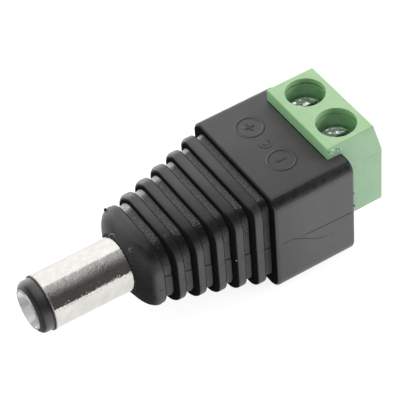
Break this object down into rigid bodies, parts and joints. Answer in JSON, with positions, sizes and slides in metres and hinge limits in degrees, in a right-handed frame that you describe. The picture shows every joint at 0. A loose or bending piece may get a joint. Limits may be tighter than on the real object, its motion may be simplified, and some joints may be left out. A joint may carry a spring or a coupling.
{
  "type": "dc barrel plug with screw terminals",
  "caption": "DC barrel plug with a ribbed black moulding and a green screw terminal block at its rear for bare wires.",
  "frame": {"origin": "on the barrel's axis, where the metal sleeve leaves the black nose", "axes": "X along the barrel, the tip towards -X and the wire entries towards +X; +Z is the side that the clamp screws are turned from; Y across the two poles, positive pole on +Y"},
  "size_m": [0.0357, 0.0138, 0.013],
  "materials": {
    "nickel_plate": "brass tube with bright nickel plating",
    "black_bush": "black moulded plastic, satin",
    "contact_plating": "brass with silver-coloured plating",
    "tinned_brass": "brass strip, tinned",
    "solder": "solder, dull silver",
    "black_moulding": "black flexible plastic, satin, fine grain in the grooves",
    "green_housing": "light green moulded plastic, satin",
    "cage_steel": "nickel-plated steel",
    "screw_steel": "zinc-plated steel"
  },
  "bodies": {
    "plug": {"outer_sleeve": "nickel_plate", "tip_insulator": "black_bush", "centre_contact": "contact_plating", "rear_insulator": "black_bush", "sleeve_lug": "tinned_brass", "centre_lug": "tinned_brass", "solder_positive": "solder", "solder_negative": "solder", "overmould_body": "black_moulding", "terminal_housing": "green_housing", "contact_plate_positive": "tinned_brass", "contact_plate_negative": "tinned_brass"},
    "screw_positive": {"clamp_screw_positive": "screw_steel"},
    "screw_negative": {"clamp_screw_negative": "screw_steel"},
    "cage_positive": {"clamp_cage_positive": "cage_steel"},
    "cage_negative": {"clamp_cage_negative": "cage_steel"}
  },
  "joints": [
    {"name": "cage_positive_rise", "type": "slide", "parent": "plug", "child": "cage_positive", "axis": [0, 0, 1], "range_m": [0, 0.00135]},
    {"name": "cage_negative_rise", "type": "slide", "parent": "plug", "child": "cage_negative", "axis": [0, 0, 1], "range_m": [0, 0.00135]},
    {"name": "screw_positive_turn", "type": "hinge", "parent": "plug", "child": "screw_positive", "pos_m": [0.02256, 0.0025, 0.004], "axis": [0, 0, -1], "range_deg": [0, 1080]},
    {"name": "screw_negative_turn", "type": "hinge", "parent": "plug", "child": "screw_negative", "pos_m": [0.02256, -0.0025, 0.004], "axis": [0, 0, -1], "range_deg": [0, 1080]}
  ],
  "couplings": [
    {"joint": "screw_positive_turn", "follows": "cage_positive_rise", "rad_per_m": 13962},
    {"joint": "screw_negative_turn", "follows": "cage_negative_rise", "rad_per_m": 13962}
  ]
}
